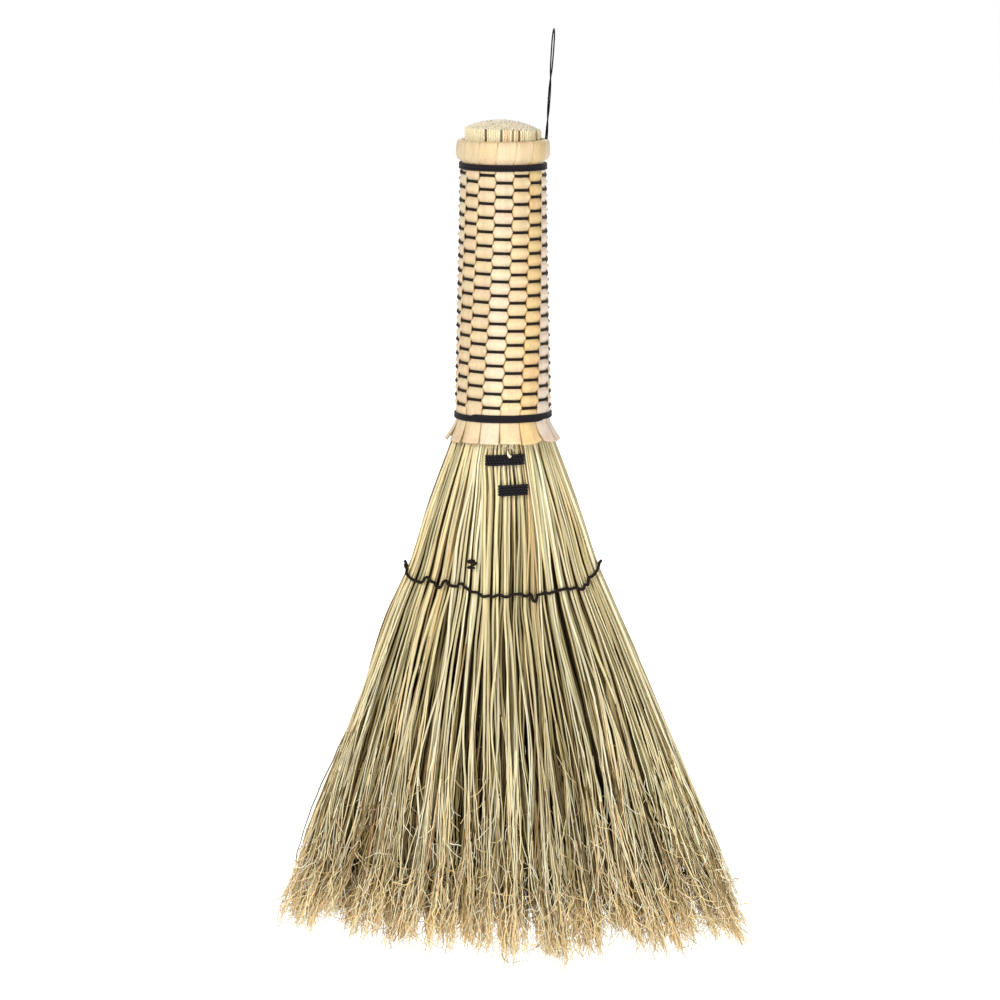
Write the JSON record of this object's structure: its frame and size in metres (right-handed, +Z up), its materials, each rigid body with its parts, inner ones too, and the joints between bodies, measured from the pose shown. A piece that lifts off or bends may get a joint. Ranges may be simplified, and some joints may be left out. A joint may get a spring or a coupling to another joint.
{
  "type": "hand broom",
  "caption": "Flat fan-shaped straw hand broom with a round plaited grip, stitched across the fan, and a thin cord loop to hang it by.",
  "frame": {"origin": "inside the top of the hanging loop, where a hook or nail holds it", "axes": "+Z up along the hanging broom, -Y out of the front of the flat fan, +X across the fan to the right seen from the front"},
  "size_m": [0.2165, 0.0474, 0.4176],
  "materials": {
    "broomcorn": "dry, dull stalks",
    "splint_straw": "smooth flat straw",
    "black_cord": "waxed twisted cord"
  },
  "bodies": {
    "root": {"left_outer_hank": "broomcorn", "left_inner_hank": "broomcorn", "middle_hank": "broomcorn", "right_inner_hank": "broomcorn", "right_outer_hank": "broomcorn", "splint_01": "splint_straw", "splint_02": "splint_straw", "splint_03": "splint_straw", "splint_04": "splint_straw", "splint_05": "splint_straw", "splint_06": "splint_straw", "splint_07": "splint_straw", "splint_08": "splint_straw", "splint_09": "splint_straw", "splint_10": "splint_straw", "splint_11": "splint_straw", "splint_12": "splint_straw", "splint_13": "splint_straw", "splint_14": "splint_straw", "splint_15": "splint_straw", "plaiting_cord": "black_cord", "top_binding": "black_cord", "bottom_binding": "black_cord", "upper_hank_tie": "black_cord", "lower_hank_tie": "black_cord", "stitching_cord": "black_cord", "stitch_knot": "black_cord", "hanging_cord": "black_cord", "hanging_cord_knot": "black_cord"}
  },
  "joints": []
}
